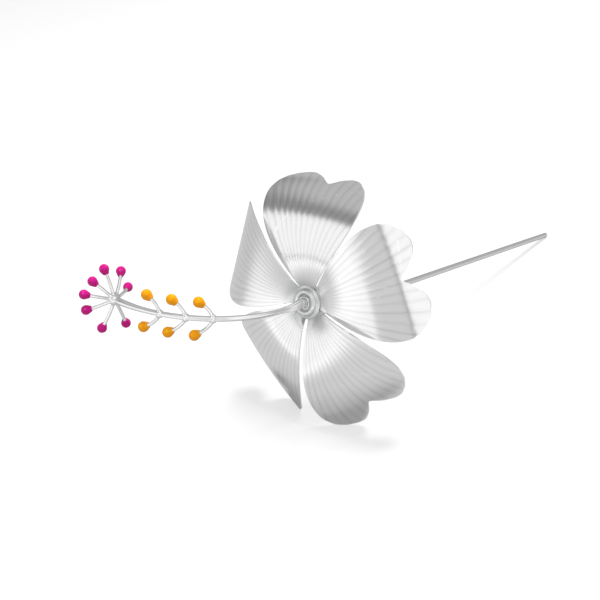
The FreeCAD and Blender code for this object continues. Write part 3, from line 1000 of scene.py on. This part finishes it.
def makeFloor():
    bpy.ops.mesh.primitive_grid_add(x_subdivisions=8, y_subdivisions=8, size=6.0, location=(0, 0, 0))
    floor = bpy.context.object
    floor.name = "seamless_floor"
    material, tree, shader = startMaterial("seamlessPaper")
    shader.inputs["Base Color"].default_value = studio["floorColor"]
    shader.inputs["Roughness"].default_value = studio["floorRoughness"]
    shader.inputs["Specular IOR Level"].default_value = studio["floorSpecular"]
    shader.inputs["Emission Color"].default_value = (1, 1, 1, 1)
    path = makeNode(tree, "ShaderNodeLightPath")
    place = makeNode(tree, "ShaderNodeTexCoord")
    away = makeNode(tree, "ShaderNodeVectorMath", operation="DOT_PRODUCT")
    az = math.radians(studio["reflectedGlowAzimuth"])
    side = Vector((math.cos(az), math.sin(az), 0))
    away.inputs[1].default_value = side
    reflectedGlow = makeNode(tree, "ShaderNodeMapRange", interpolation_type="SMOOTHSTEP")
    start = side.dot(Vector(restPose["flowerCentre"])) * mm
    reflectedGlow.inputs["From Min"].default_value = start + studio["reflectedGlowReach"][0]
    reflectedGlow.inputs["From Max"].default_value = start + studio["reflectedGlowReach"][1]
    reflectedGlow.inputs["To Min"].default_value = studio["reflectedFloorGlow"][0]
    reflectedGlow.inputs["To Max"].default_value = studio["reflectedFloorGlow"][1]
    tree.links.new(place.outputs["Object"], away.inputs[0])
    tree.links.new(away.outputs["Value"], reflectedGlow.inputs["Value"])
    glow = mathNode(tree, "MULTIPLY", path.outputs["Is Camera Ray"], studio["floorGlow"])
    # painted glow seen only in glossy reflections, growing towards one side
    reflectedGlowAmount = mathNode(tree, "MULTIPLY", path.outputs["Is Glossy Ray"], reflectedGlow.outputs["Result"])
    tree.links.new(mathNode(tree, "ADD", glow, reflectedGlowAmount), shader.inputs["Emission Strength"])
    floor.data.materials.append(material)
    return floor


def areaLamp(name, azimuth, distance, middle, width, height, tilt, radiance):
    az, el = math.radians(azimuth), math.radians(tilt)
    way = Vector((math.cos(az) * math.cos(el), math.sin(az) * math.cos(el), math.sin(el)))
    light = bpy.data.lights.new(name, "AREA")
    light.shape = "RECTANGLE"
    light.size = width
    light.size_y = height
    light.energy = radiance * math.pi * width * height
    lamp = bpy.data.objects.new(name, light)
    centre = Vector(restPose["flowerCentre"]) * mm
    lamp.location = (centre.x + distance * math.cos(az), centre.y + distance * math.sin(az), middle)
    lamp.rotation_euler = way.to_track_quat("Z", "Y").to_euler()
    lamp.visible_glossy = False
    lamp.visible_camera = False
    bpy.context.scene.collection.objects.link(lamp)
    return lamp


def softEdge(tree, angle, centre, width, softness):  # 1 inside the width, 0 outside
    away = mathNode(tree, "ABSOLUTE", mathNode(tree, "SUBTRACT", angle, centre))
    band = makeNode(tree, "ShaderNodeMapRange", interpolation_type="SMOOTHSTEP")
    band.inputs["From Min"].default_value = width / 2 + softness
    band.inputs["From Max"].default_value = width / 2 - softness
    tree.links.new(away, band.inputs["Value"])
    return band.outputs["Result"]


def makeWorld():
    world = bpy.data.worlds.new("studioRoom")
    bpy.context.scene.world = world
    world.use_nodes = True
    tree = world.node_tree
    tree.nodes.clear()
    out = makeNode(tree, "ShaderNodeOutputWorld")
    back = makeNode(tree, "ShaderNodeBackground")
    back.inputs["Color"].default_value = (1, 1, 1, 1)
    place = makeNode(tree, "ShaderNodeTexCoord")
    split = makeNode(tree, "ShaderNodeSeparateXYZ")
    tree.links.new(place.outputs["Generated"], split.inputs["Vector"])
    turn = mathNode(tree, "ARCTAN2", split.outputs["Y"], split.outputs["X"])
    azimuth = mathNode(tree, "MULTIPLY", turn, 180 / math.pi)
    rise = mathNode(tree, "ARCSINE", split.outputs["Z"])
    elevation = mathNode(tree, "MULTIPLY", rise, 180 / math.pi)
    room = makeNode(tree, "ShaderNodeMapRange")
    room.inputs["From Min"].default_value = 20.0
    room.inputs["From Max"].default_value = 50.0
    room.inputs["To Min"].default_value = studio["roomLow"]
    room.inputs["To Max"].default_value = studio["roomHigh"]
    tree.links.new(elevation, room.inputs["Value"])
    light = room.outputs["Result"]
    for az, el, width, height, softSide, softTop, radiance in softPanels:
        inside = mathNode(
            tree,
            "MULTIPLY",
            softEdge(tree, azimuth, az, width, softSide),
            softEdge(tree, elevation, el, height, softTop),
        )
        mix = makeNode(tree, "ShaderNodeMix", data_type="FLOAT")
        mix.inputs["B"].default_value = radiance
        tree.links.new(inside, mix.inputs["Factor"])
        tree.links.new(light, mix.inputs["A"])
        light = mix.outputs["Result"]
    path = makeNode(tree, "ShaderNodeLightPath")
    white = makeNode(tree, "ShaderNodeMix", data_type="FLOAT")
    white.inputs["B"].default_value = studio["backdrop"]
    tree.links.new(path.outputs["Is Camera Ray"], white.inputs["Factor"])
    tree.links.new(light, white.inputs["A"])
    tree.links.new(white.outputs["Result"], back.inputs["Strength"])
    tree.links.new(back.outputs["Background"], out.inputs["Surface"])


makeFloor()
for name, values in lamps.items():
    areaLamp(name, *values)
makeWorld()

view = {
    "fromCentre": (187.365, 170.328, 114.923),  # mm from the flower's centre
    "lookAzimuth": -137.3,
    "lookDown": 24.253,
    "roll": 9.212,
    "lens": 66.736,
}


def makeCamera():
    data = bpy.data.cameras.new("studioCamera")
    data.sensor_width = 36.0
    data.lens = view["lens"]
    data.clip_start = 0.005
    data.clip_end = 20.0
    camera = bpy.data.objects.new("studioCamera", data)
    place = (np.array(restPose["flowerCentre"]) + np.array(view["fromCentre"])) * mm
    az, down, roll = (math.radians(view[key]) for key in ("lookAzimuth", "lookDown", "roll"))
    look = Vector((math.cos(az) * math.cos(down), math.sin(az) * math.cos(down), -math.sin(down)))
    right = look.cross(Vector((0, 0, 1))).normalized()
    up = right.cross(look)
    upRolled = up * math.cos(roll) + right * math.sin(roll)
    rightRolled = look.cross(upRolled)
    turn = Matrix((rightRolled, upRolled, -look)).transposed().to_4x4()
    camera.matrix_world = Matrix.Translation(Vector(place)) @ turn
    bpy.context.scene.collection.objects.link(camera)
    bpy.context.scene.camera = camera


makeCamera()
bpy.context.scene.view_settings.view_transform = "Standard"
print("studio ready")
